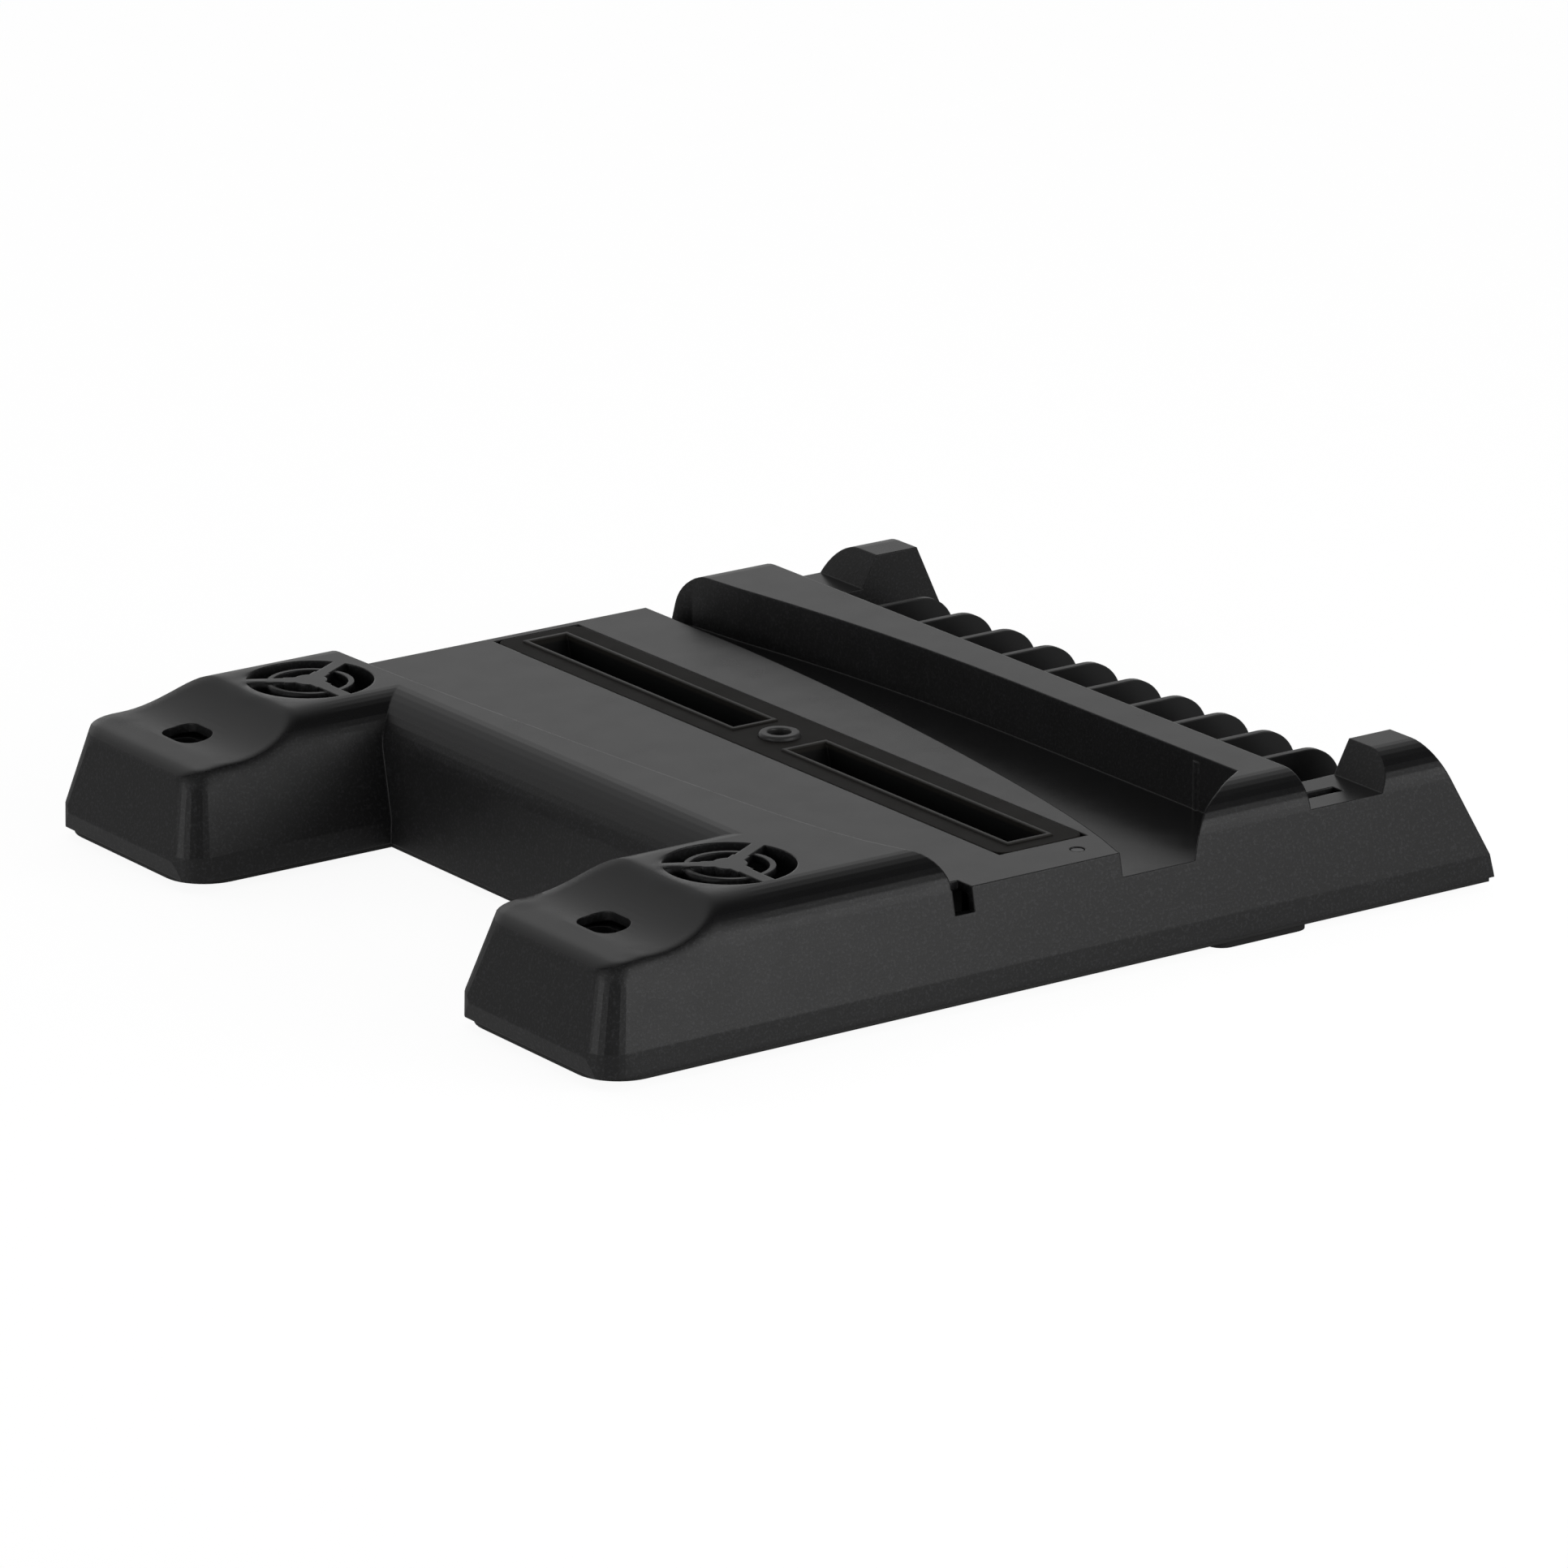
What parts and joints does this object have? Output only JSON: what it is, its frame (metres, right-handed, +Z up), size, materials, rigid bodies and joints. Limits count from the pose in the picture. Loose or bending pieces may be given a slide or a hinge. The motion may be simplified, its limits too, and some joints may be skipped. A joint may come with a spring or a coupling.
{
  "type": "controller charging station",
  "caption": "Low black stand with forked charging arms, fan grilles, a recessed console seat with air slots and a finned case rack.",
  "frame": {"origin": "centre of the footprint, at the underside of the rubber feet", "axes": "+X from the arm ends to the case rack, +Y from the near side to the far side, +Z up"},
  "size_m": [0.293, 0.2692, 0.0415],
  "materials": {
    "housing": "satin black moulding, fine grain on the sloping sides",
    "base": "matt black moulding",
    "strip": "dull dark grey inlay",
    "collar": "dull grey bushing",
    "rack": "satin black moulding",
    "fan": "matt black fan plastic",
    "sleeve": "dull dark grey",
    "button": "satin black",
    "plug": "plated contacts",
    "board": "green circuit board",
    "lens": "clear light guide",
    "feet": "soft black rubber",
    "steel": "zinc plated screws"
  },
  "bodies": {
    "stand": {"top_housing": "housing", "base_plate": "base", "vent_strip": "strip", "screw_collar": "collar", "case_rack": "rack", "rack_screws": "steel", "far_fan_frame": "fan", "near_fan_frame": "fan", "fan_screws": "steel", "far_dock_sleeve": "sleeve", "near_dock_sleeve": "sleeve", "far_dock_plug": "plug", "near_dock_plug": "plug", "far_dock_board": "board", "near_dock_board": "board", "main_board": "board", "power_inlet": "plug", "switch_body": "sleeve", "status_lens": "lens", "rubber_feet": "feet", "housing_screws": "steel"},
    "far_rotor": {"far_impeller": "fan"},
    "near_rotor": {"near_impeller": "fan"},
    "button": {"fan_button": "button"}
  },
  "joints": [
    {"name": "far_fan_spin", "type": "hinge", "parent": "stand", "child": "far_rotor", "pos_m": [-0.08265, 0.1002, 0.0236], "axis": [0, 0, 1], "continuous": true},
    {"name": "near_fan_spin", "type": "hinge", "parent": "stand", "child": "near_rotor", "pos_m": [-0.08265, -0.1002, 0.0236], "axis": [0, 0, 1], "continuous": true},
    {"name": "fan_button_press", "type": "slide", "parent": "stand", "child": "button", "axis": [0, -1, 0], "range_m": [0, 0.0008], "stiffness_N_per_m": 400, "springref_m": -0.0012}
  ]
}
